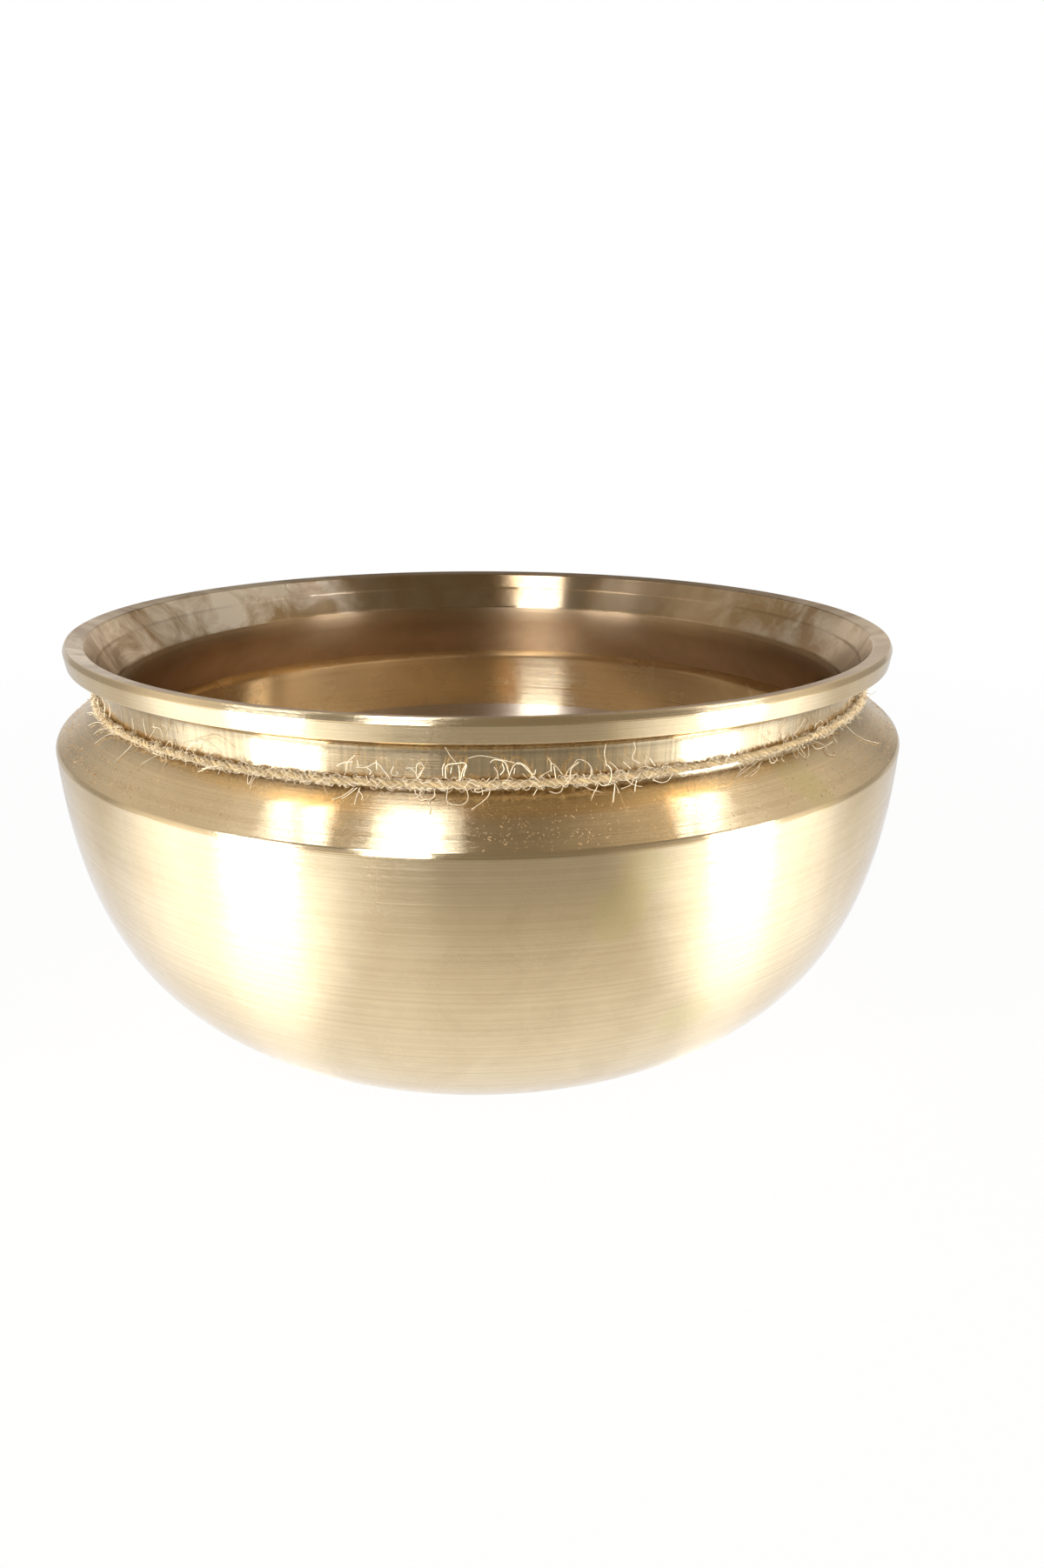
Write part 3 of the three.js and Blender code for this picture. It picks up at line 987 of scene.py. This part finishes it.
@dataclass
class NeckTwine:
    """One length of three-ply jute twine, tied round the neck with a reef knot.

    Sizes are in millimetres, and angles in degrees from the front. Places of the knot are counted in
    pitches along the neck, up it and out from it.
    """

    bowl: Bowl
    diameter: float = 1.8
    clearance: float = 0.3
    slant: float = 2.1
    turn_steps: int = 600
    knot_gap: float = 0.6
    knot_rise: float = 1.5
    knot_steps: int = 12
    ply_count: int = 3
    ply_sides: int = 8
    ply_radius: float = 0.45
    lay_length: float = 5.4
    steps_per_lay: int = 12
    slub: Span = (0.86, 1.1)
    slub_steps: int = 9
    fibre_sides: int = 4
    fibre_root: float = 0.9
    fibre_radius: Span = (0.05, 0.085)
    fibre_tip: float = 0.5
    fibre_gap: float = 0.1
    front: Span = (-17, 26)
    front_hairiness: float = 0.22
    sides: Span = (-62, 62)
    sides_hairiness: float = 0.45
    hairiness: float = 0.8
    worn_loss: float = 0.7
    worn_middle: float = 34.0
    worn_width: float = 8.0
    front_stand_off: float = 1.0
    front_gap: float = 0.35
    front_steps: int = 3
    front_radius: Span = (0.085, 0.115)
    shed_count: int = 6000
    shed_points: int = 3
    shed_down: Span = (2.5, 15.8)
    shed_most_down: float = 13.0
    shed_bend: Span = (-0.8, 0.8)
    shed_least: float = 0.08
    shed_rate: float = 8.0
    shed_radius: Span = (0.04, 0.06)
    shed_gap: float = 0.08
    seed: int = 4
    bight: tuple[Place, ...] = (
        (-2.4, 0.5, 0), (-1.2, 0.5, 0.5), (-0.6, 0.68, 0.88), (0, 1.03, 1), (0.6, 1.38, 0.88),
        (1.2, 1.55, 0.5), (2, 1.4, 0), (2.72, 0.8, 0), (3, 0, 0), (2.72, -0.8, 0), (2, -1.4, 0),
        (1.2, -1.55, 0.5), (0.6, -1.38, 0.88), (0, -1.03, 1), (-0.6, -0.68, 0.88), (-1.2, -0.5, 0.5),
        (-2.4, -0.5, 0),
    )
    tail: tuple[Place, ...] = (
        (-13, -4.38, 3.86), (-11.8, -4.26, 3.7), (-10.2, -4.06, 3.45), (-8.6, -3.8, 3.15),
        (-7.4, -3.05, 2.75), (-6.6, -1.9, 2.3), (-6, -0.7, 1.75), (-5.3, 0.2, 1.1), (-4.4, 0.55, 0.45),
        (-3.4, 0.5, 0.05),
    )
    other_tail: tuple[Place, ...] = (
        (11.6, -4.2, 3.62), (10.4, -4.05, 3.42), (9, -3.8, 3.15), (7.7, -3.15, 2.85), (6.8, -2.1, 2.5),
        (6.1, -1, 2.15), (5.4, -0.1, 1.75), (4.5, 0.45, 1.3), (3.4, 0.55, 1.05),
    )
    lead: tuple[Place, ...] = ((-3.6, -0.53, 0), (-5, -0.72, 0), (-7, -0.97, 0))
    lead_join: float = -9.0
    other_lead: tuple[Place, ...] = ((3.5, -0.53, 0.93), (4.7, -0.7, 0.5), (6, -0.9, 0.1), (7.5, -1.06, 0))
    other_lead_join: float = 9.5

    @property
    def pitch(self) -> float:
        """Spacing of the knot's passes."""
        return self.diameter + self.knot_gap

    @property
    def turn_radius(self) -> float:
        """Radius of the turn round the neck, at the middle of the twine."""
        return self.bowl.neck_radius + self.diameter / 2 + self.clearance

    @property
    def seat_height(self) -> float:
        """Height of the turn where it sits lowest."""
        slope = self.bowl.slope
        return self.bowl.neck_foot.y + (self.turn_radius - self.bowl.neck_radius) * (1 + slope.y) / slope.x

    def turn_point(self, angle: float) -> Vector:
        """Return a point of the turn at an angle about the axis, in metres."""
        height = self.seat_height + self.slant * (1 + math.cos(angle)) / 2
        return round_axis(self.turn_radius, angle, height)

    def knot_angle(self, sideways: float) -> float:
        """Return the angle about the axis of a place so many pitches along the neck from the knot."""
        return math.pi / 2 + sideways * self.pitch / self.turn_radius

    def knot_point(self, place: Place) -> Vector:
        """Return a point of the knot.

        Args:
            place: pitches along the neck, up, and out from it.

        Returns:
            The point in metres.
        """
        sideways, rise, out = place
        height = self.seat_height + (self.knot_rise + rise) * self.pitch
        return round_axis(self.turn_radius + out * self.pitch, self.knot_angle(sideways), height)

    def route(self) -> list[Vector]:
        """Return the middle of the twine as evenly spaced points, from one cut end to the other."""
        other_bight = [(-sideways, rise, 1 - out) for sideways, rise, out in self.bight]
        ends = []
        for places, join in (
            ((*self.tail, *self.bight, *self.lead), self.lead_join),
            ((*self.other_tail, *other_bight, *self.other_lead), self.other_lead_join),
        ):
            points = [self.knot_point(place) for place in places]
            points.append(self.turn_point(self.knot_angle(join)))
            ends.append(through(points, self.knot_steps))
        start = self.knot_angle(self.lead_join)
        sweep = 2 * math.pi - (self.knot_angle(self.other_lead_join) - start)
        count = self.turn_steps
        turn = [self.turn_point(start - sweep * i / count) for i in range(1, count)]
        step = self.lay_length * MM / self.steps_per_lay
        return evenly(ends[0] + turn + ends[1][::-1], step)

    def frames(self, route: list[Vector]) -> list[Matrix]:
        """Return a frame for each point of the route, carried along without twisting.

        Args:
            route: evenly spaced points.

        Returns:
            Matrices whose columns are two directions across the twine, and the one along it.
        """
        across = Vector((0, 0, 1))
        frames = []
        for i in range(len(route)):
            along = (route[min(i + 1, len(route) - 1)] - route[max(i - 1, 0)]).normalized()
            across = (across - along * across.dot(along)).normalized()
            frames.append(Matrix((across, along.cross(across), along)).transposed())
        return frames

    def plies(self, route: list[Vector], frames: list[Matrix]) -> list[Strand]:
        """Lay three plies round the route.

        Args:
            route: middle of the twine.
            frames: frames of its points.

        Returns:
            The three plies, thicker and thinner along their length as spun jute is.
        """
        rng = random.Random(self.seed)
        offset = (self.diameter / 2 - self.ply_radius) * MM
        plies = []
        for ply in range(self.ply_count):
            slubs = [rng.uniform(*self.slub) for _ in range(len(route) // self.slub_steps + 2)]
            points = []
            radii = []
            for i, (middle, axes) in enumerate(zip(route, frames)):
                angle = 2 * math.pi * (i / self.steps_per_lay + ply / self.ply_count)
                points.append(middle + axes @ Vector((math.cos(angle), math.sin(angle), 0)) * offset)
                share = i / self.slub_steps
                here, there = slubs[int(share):int(share) + 2]
                radii.append(self.ply_radius * (here + (there - here) * (share % 1)) * MM)
            plies.append(Strand(points, radii))
        return plies

    def fibre(self, lay: FibreLay, middle: Vector, axes: Matrix, rng: random.Random) -> Strand:
        """Grow one loose fibre on the twine.

        Args:
            lay: how the fibre stands.
            middle: point of the route where it is rooted.
            axes: frame of that point.
            rng: seeded source of chance.

        Returns:
            The fibre, clear of the bowl.
        """
        turn = rng.uniform(0, 2 * math.pi)
        out = axes @ Vector((math.cos(turn), math.sin(turn), 0))
        along = axes @ Vector((0, 0, rng.choice((-1, 1))))
        surface = self.diameter / 2 * self.fibre_root
        spots = LooseFibre(out, along, out.cross(along), surface, rng).spots(lay)
        radius = rng.uniform(*self.fibre_radius) * MM
        points = [self.bowl.lift_clear(middle + spot * MM, self.fibre_gap) for spot in spots]
        return Strand(points, [radius] * (len(points) - 1) + [radius * self.fibre_tip])

    def loose_share(self, point: Vector, lay: FibreLay) -> float:
        """Return the share of fibres, 0 to 1, that stand loose at a point of the twine.

        Args:
            point: a point of the twine, in metres.
            lay: how the fibres stand.

        Returns:
            Little where the twine is worn smooth, and little where the front's own fibres stand.
        """
        angle = math.degrees(math.atan2(point.x, -point.y))
        if lay is not FibreLay.HUGGING and self.front[0] < angle < self.front[1]:
            return self.front_hairiness
        if lay is not FibreLay.HUGGING and self.sides[0] < angle < self.sides[1]:
            return self.sides_hairiness
        worn = math.exp(-(((angle - self.worn_middle) / self.worn_width) ** 2))
        return self.hairiness - self.worn_loss * worn

    def fuzz(self, route: list[Vector], frames: list[Matrix]) -> dict[FibreLay, list[Strand]]:
        """Grow the loose fibres all along the twine.

        Args:
            route: middle of the twine.
            frames: frames of its points.

        Returns:
            The fibres of each lay, thicker in some stretches than in others.
        """
        rng = random.Random(self.seed + 1)
        fibres: dict[FibreLay, list[Strand]] = {lay: [] for lay in FIBRE_COUNTS}
        for lay, count in FIBRE_COUNTS.items():
            while len(fibres[lay]) < count:
                i = rng.randrange(len(route))
                if rng.random() < self.loose_share(route[i], lay):
                    fibres[lay].append(self.fibre(lay, route[i], frames[i], rng))
        return fibres

    def front_fibres(self) -> list[Strand]:
        """Return the fibres that stand out on the front."""
        rng = random.Random(self.seed + 3)
        fibres = []
        for line in FRONT_FIBRES:
            points = []
            for degrees, height in line:
                radius = max(self.turn_radius + self.front_stand_off, self.bowl.slope_radius(height))
                spot = round_axis(radius, math.radians(degrees - 90), height)
                points.append(self.bowl.lift_clear(spot, self.front_gap))
            points = through(points, self.front_steps)
            fibres.append(Strand(points, [rng.uniform(*self.front_radius) * MM] * len(points)))
        return fibres

    def shed(self) -> list[Strand]:
        """Return short fibres that have dropped off and lie on the shoulder."""
        rng = random.Random(self.seed + 2)
        slope = self.bowl.slope
        fibres = []
        for _ in range(self.shed_count):
            turn = rng.uniform(0, 2 * math.pi)
            spot = self.bowl.neck_foot + slope * rng.triangular(*self.shed_down, self.shed_most_down)
            heading = rng.uniform(0, 2 * math.pi)
            bend = rng.uniform(*self.shed_bend)
            step = (self.shed_least + rng.expovariate(self.shed_rate)) / (self.shed_points - 1)
            points = []
            for _ in range(self.shed_points):
                points.append(self.bowl.lift_clear(round_axis(spot.x, turn, spot.y), self.shed_gap))
                spot = spot + slope * math.sin(heading) * step
                turn += math.cos(heading) * step / spot.x
                heading += bend * step
            fibres.append(Strand(points, [rng.uniform(*self.shed_radius) * MM] * self.shed_points))
        return fibres

    def build(self, spun: JuteFibre, loose_jute: JuteFibre, dust: JuteFibre) -> list[bpy.types.Object]:
        """Build the twine with its loose fibres, and dress them.

        Args:
            spun: the jute of the plies.
            loose_jute: the jute of the loose fibres.
            dust: the jute of the fibres that it has shed.

        Returns:
            The twine, its fuzz and the fibres that it has shed.
        """
        jute = spun.make()
        pale_jute = loose_jute.make()
        route = self.route()
        frames = self.frames(route)
        twine = strands_piece("jute_twine", self.plies(route, frames), self.ply_sides, jute)
        loose = self.fuzz(route, frames)
        hugging = loose.pop(FibreLay.HUGGING)
        standing = sum(loose.values(), []) + self.front_fibres()
        sides = self.fibre_sides
        fuzz = strands_piece("twine_fuzz", hugging, sides, pale_jute)
        stray = strands_piece("stray_fibres", standing, sides, pale_jute)
        shed = strands_piece("shed_fibres", self.shed(), sides, dust.make())
        for piece in (twine, fuzz, stray, shed):
            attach(piece, "root")
        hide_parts("neck_twine")
        return [twine, fuzz, stray, shed]


@dataclass(frozen=True)
class Softbox:
    """A rectangular lamp; angles in degrees, seen from the point that it is aimed at."""

    name: str
    azimuth: float
    elevation: float
    width: float
    height: float
    brightness: float
    roll: float = 0.0
    aim: Place = (0.0, 0.0, 0.09)
    lights_matt: bool = True
    lights_metal: bool = True
    tint: str = "#D8E6FF"
    distance: float = 1.1
    watts: float = 4.0

    def build(self) -> bpy.types.Object:
        """Return the lamp. Azimuth 0 is the camera's side, -Y, and grows towards +X."""
        lamp = bpy.data.lights.new(self.name, "AREA")
        lamp.shape = "RECTANGLE"
        lamp.size = 2 * self.distance * math.tan(math.radians(self.width / 2))
        lamp.size_y = 2 * self.distance * math.tan(math.radians(self.height / 2))
        lamp.color = linear(self.tint)[:3]
        lamp.energy = self.brightness * self.watts * lamp.size * lamp.size_y
        turn = math.radians(self.azimuth)
        rise = math.radians(self.elevation)
        away = Vector((math.sin(turn) * math.cos(rise), -math.cos(turn) * math.cos(rise), math.sin(rise)))
        holder = bpy.data.objects.new(self.name, lamp)
        place = Matrix.Translation(Vector(self.aim) + away * self.distance)
        facing = away.to_track_quat("Z", "Y").to_matrix().to_4x4()
        holder.matrix_world = place @ facing @ Matrix.Rotation(math.radians(self.roll), 4, "Z")
        holder.visible_camera = False
        holder.visible_diffuse = self.lights_matt
        holder.visible_glossy = self.lights_metal
        bpy.context.scene.collection.objects.link(holder)
        return holder


@dataclass
class Studio:
    """White paper floor, grey room, softboxes on both sides, and the camera."""

    room_tint: str = "#FFF5E6"
    glow_tint: str = "#F4F2F0"
    dark_heading: float = 0.12
    side_glow: Ramp = Ramp(0.2, 0.88, 0.0, 1.45)
    glow_ahead: Ramp = Ramp(-0.2, 0.25, 1.0, 0.1)
    front_to_back: Ramp = Ramp(-0.2, 0.4, 0.24, 0.3)
    backdrop: Ramp = Ramp(0.7, 0.95, 0.3, 0.85)
    low: Ramp = Ramp(0.15, 0.5, 1.0, 0.0)
    overhead: float = 0.26
    upper_glow: Ramp = Ramp(0.1, 0.5, 0.0, 0.5)
    upper_rear: Ramp = Ramp(-0.35, 0.05, 0.0, 1.0)
    lamps: tuple[Softbox, ...] = (
        Softbox("left_low", -51.5, 0.5, 19, 16, 44.0, lights_matt=False),
        Softbox("right_low", 60.5, 0.5, 17, 16, 44.0, lights_matt=False),
        Softbox("left_strip", -97.1, 57.9, 2.1, 12, 6.0, roll=-69.3, aim=(-0.0444, -0.1188, 0.1)),
        Softbox("left_inner_strip", -92.4, 63, 2.7, 12, 6.0, roll=-74.6, aim=(-0.0371, -0.1209, 0.1004)),
        Softbox("right_inner_strip", 98.2, 57.3, 1.4, 12, 6.0, roll=67.1, aim=(0.0451, -0.1176, 0.1007)),
        Softbox("right_strip", 101.8, 53.4, 1.9, 12, 6.0, roll=63.7, aim=(0.0507, -0.1151, 0.1009)),
        Softbox("overhead", -73.35, 76.44, 12.45, 3.96, 2.6, roll=43.6, aim=(-0.0037, -0.1399, 0.1034)),
        Softbox(
            "front_left_window", -25, 50, 13, 30, 10.0, lights_matt=False, aim=(0.02, 0.1, 0.12),
            distance=0.95,
        ),
        Softbox(
            "front_low_window", -21, 20.5, 14, 13, 14.0, lights_matt=False, aim=(0.026, 0.125, 0.07),
            distance=3,
        ),
        Softbox("left_fill", -57, 4, 14, 20, 40.0, lights_metal=False, tint="#FFFBF2"),
        Softbox("right_fill", 60, 4, 12, 20, 40.0, lights_metal=False, tint="#FFFBF2"),
    )
    paper_half_width: float = 6.0
    lens: float = 21.542
    spot: Place = (0.0, -0.31162, 0.17496)
    yaw: float = 0.0414
    pitch: float = 0.3388
    roll: float = 0.0066

    def camera(self) -> bpy.types.Object:
        """Return the camera, at the place and angle that the rim's and the shoulder's ellipses give."""
        data = bpy.data.cameras.new("camera")
        data.lens = self.lens
        data.sensor_width = 36.0
        data.sensor_fit = "AUTO"
        data.clip_start = 0.01
        facing = Matrix.Rotation(-self.yaw, 4, "Z") @ Matrix.Rotation(math.pi / 2 - self.pitch, 4, "X")
        holder = bpy.data.objects.new("camera", data)
        holder.matrix_world = Matrix.Translation(self.spot) @ facing @ Matrix.Rotation(self.roll, 4, "Z")
        bpy.context.scene.collection.objects.link(holder)
        bpy.context.scene.camera = holder
        return holder

    def floor(self, finish: PaperFloor) -> bpy.types.Object:
        """Lay the paper.

        Args:
            finish: the paper.

        Returns:
            The floor.
        """
        bm = bmesh.new()
        bmesh.ops.create_grid(bm, x_segments=1, y_segments=1, size=self.paper_half_width)
        mesh = bpy.data.meshes.new("floor")
        bm.to_mesh(mesh)
        bm.free()
        piece = new_piece("floor", mesh, finish.make())
        return piece

    def in_metal(self, tree: Tree, heading: Socket, glow: Socket) -> Socket:
        """Light the room as the metal mirrors it: dark overhead, grey in front, pale to the sides.

        Args:
            tree: node tree of the world.
            heading: direction of the ray.
            glow: light from the sides.

        Returns:
            Brightness.
        """
        sideways, depth, rise = add_node(tree, "SeparateXYZ", {0: heading}).node.outputs
        level = add_node(tree, "MapRange", self.front_to_back.inputs(depth))
        level = add_node(tree, "MapRange", {**self.backdrop.inputs(depth), 3: level})
        ahead = add_node(tree, "MapRange", self.glow_ahead.inputs(depth))
        level = add_node(tree, "Math", {0: glow, 1: ahead, 2: level}, operation="MULTIPLY_ADD")
        aside = apart(tree, sideways, 0.0)
        upper = add_node(tree, "MapRange", self.upper_glow.inputs(aside), **SMOOTH)
        rear = add_node(tree, "MapRange", self.upper_rear.inputs(depth), **SMOOTH)
        upper = add_node(tree, "Math", {0: upper, 1: rear, 2: self.overhead}, operation="MULTIPLY_ADD")
        low = add_node(tree, "MapRange", self.low.inputs(rise))
        return add_node(tree, "Mix", {0: low, 2: upper, 3: level})

    def room(self) -> None:
        """Light the room, which is white to the camera."""
        world = bpy.data.worlds.new("room")
        bpy.context.scene.world = world
        world.use_nodes = True
        tree = world.node_tree
        tree.nodes.clear()
        heading = add_node(tree, "TexCoord", output="Generated")
        sideways = add_node(tree, "SeparateXYZ", {0: heading}, output="X")
        aside = apart(tree, sideways, self.dark_heading)
        glow = add_node(tree, "MapRange", self.side_glow.inputs(aside), **SMOOTH)
        level = self.in_metal(tree, heading, glow)
        rays = add_node(tree, "LightPath").node.outputs
        strength = add_node(tree, "Mix", {0: rays["Is Camera Ray"], 2: level, 3: 1.0})
        direct = {0: rays["Is Camera Ray"], 1: rays["Is Diffuse Ray"]}
        plain = add_node(tree, "Math", direct, operation="MAXIMUM")
        tint = linear(self.room_tint)
        for share, hue in ((glow, linear(self.glow_tint)), (plain, WHITE)):
            tint = add_node(tree, "Mix", {0: share, 6: tint, 7: hue}, output=2, data_type="RGBA")
        light = add_node(tree, "Background", {"Color": tint, "Strength": strength})
        add_node(tree, "OutputWorld", {"Surface": light}, output=None)

    def build(self, finish: PaperFloor) -> None:
        """Set up the camera, floor, room and lamps.

        Args:
            finish: the paper on the floor.
        """
        self.camera()
        self.floor(finish)
        self.room()
        for lamp in self.lamps:
            lamp.build()
        bpy.context.scene.view_settings.view_transform = "Standard"


def main() -> None:
    """Build the studio, the twine and the bowl, and note the sizes."""
    logging.basicConfig(level=logging.INFO, format="%(message)s")
    Studio().build(PaperFloor())
    bowl = Bowl()
    # One undyed jute in two painted copies: the plies darker as painted shade in the twine's core, the
    # loose fibres paler as painted light on the hairs
    spun = JuteFibre("spun_jute_painted_darker_as_shade", pale="#D8BE8C", straw="#5E4424")
    loose = JuteFibre("loose_jute_painted_paler_as_light", pale="#FFF4D8", straw="#94754A")
    dust = JuteFibre("jute_dust", pale="#DCC095", straw="#9A7A4E")
    pieces = NeckTwine(bowl).build(spun, loose, dust)
    outside = TurnedBronze(
        "lathe_turned_bell_metal_bronze", metal="#EBD0A2", film="#B08C5A", film_strength=0.15,
        clean_ring=0.07, torn_ring=0.25, torn_share=0.42,
        # The streaked band holds painted reflection streaks on the neck
        ring_shade=0.16, streaked=PaintedBand(104, 106, 118, 0.22),
        # Painted shade, with some dirt: darker bands at the twine's foot and in the cove under the rim
        shade_bands=(PaintedBand(102, 105, 107, 0.4), PaintedBand(113, 114.6, 118.3, 0.4)),
        stains=(
            Stain((29, -129, 81), 9, 0.7), Stain((35, -127.5, 90), 7, 0.45),
            Stain((75, -99, 102), 7, 0.6), Stain((80, -101, 98), 6, 0.6), Stain((48, -116, 46), 8, 0.45),
        ),
    )
    # The mouth's film is partly a cloudy haze, and at the left and right a painted reflection of the pale
    # room
    mouth = TurnedBronze(
        "dulled_bronze_with_painted_pale_sides", metal="#9C7E58", film="#E9D8BE", film_strength=0.95,
        clean_ring=0.16, torn_ring=0.22, torn_share=0.5, ring_depth_mm=0.0, cloud_mm=22.0,
        film_edges=(0.42, 0.6), film_roughness=0.04, pale_sides_film=True,
    )
    # Painted shade: the cone under the shoulder is painted darker towards the throat, where the shoulder
    # shades it
    hollow = TurnedBronze(
        "bronze_painted_darker_under_shoulder", metal="#D4B288", film="#A98A60", film_strength=0.3,
        clean_ring=0.3, torn_ring=0.4, torn_share=0.8, ring_depth_mm=0.0,
        shade_bands=(PaintedBand(94, 109, 130, 0.7),), shade_and_streak_paint="#9C7E58",
    )
    # Painted shade: the inside is painted darker from 70 mm up towards the shoulder, which shades it
    inside = TurnedBronze(
        "scoured_bell_metal_bronze", metal="#CDB598", film="#A08560", film_strength=0.15,
        clean_ring=0.2, torn_ring=0.34, torn_share=0.9, ring_depth_mm=0.0,
        shade_bands=(PaintedBand(70, 85, 130, 0.5),), shade_and_streak_paint="#BCA086",
    )
    pieces.append(bowl.build(outside, mouth, hollow, inside))
    for piece in pieces:
        LOG.info("%s: %d faces", piece.name, len(piece.data.polygons))


if __name__ == "__main__":
    main()
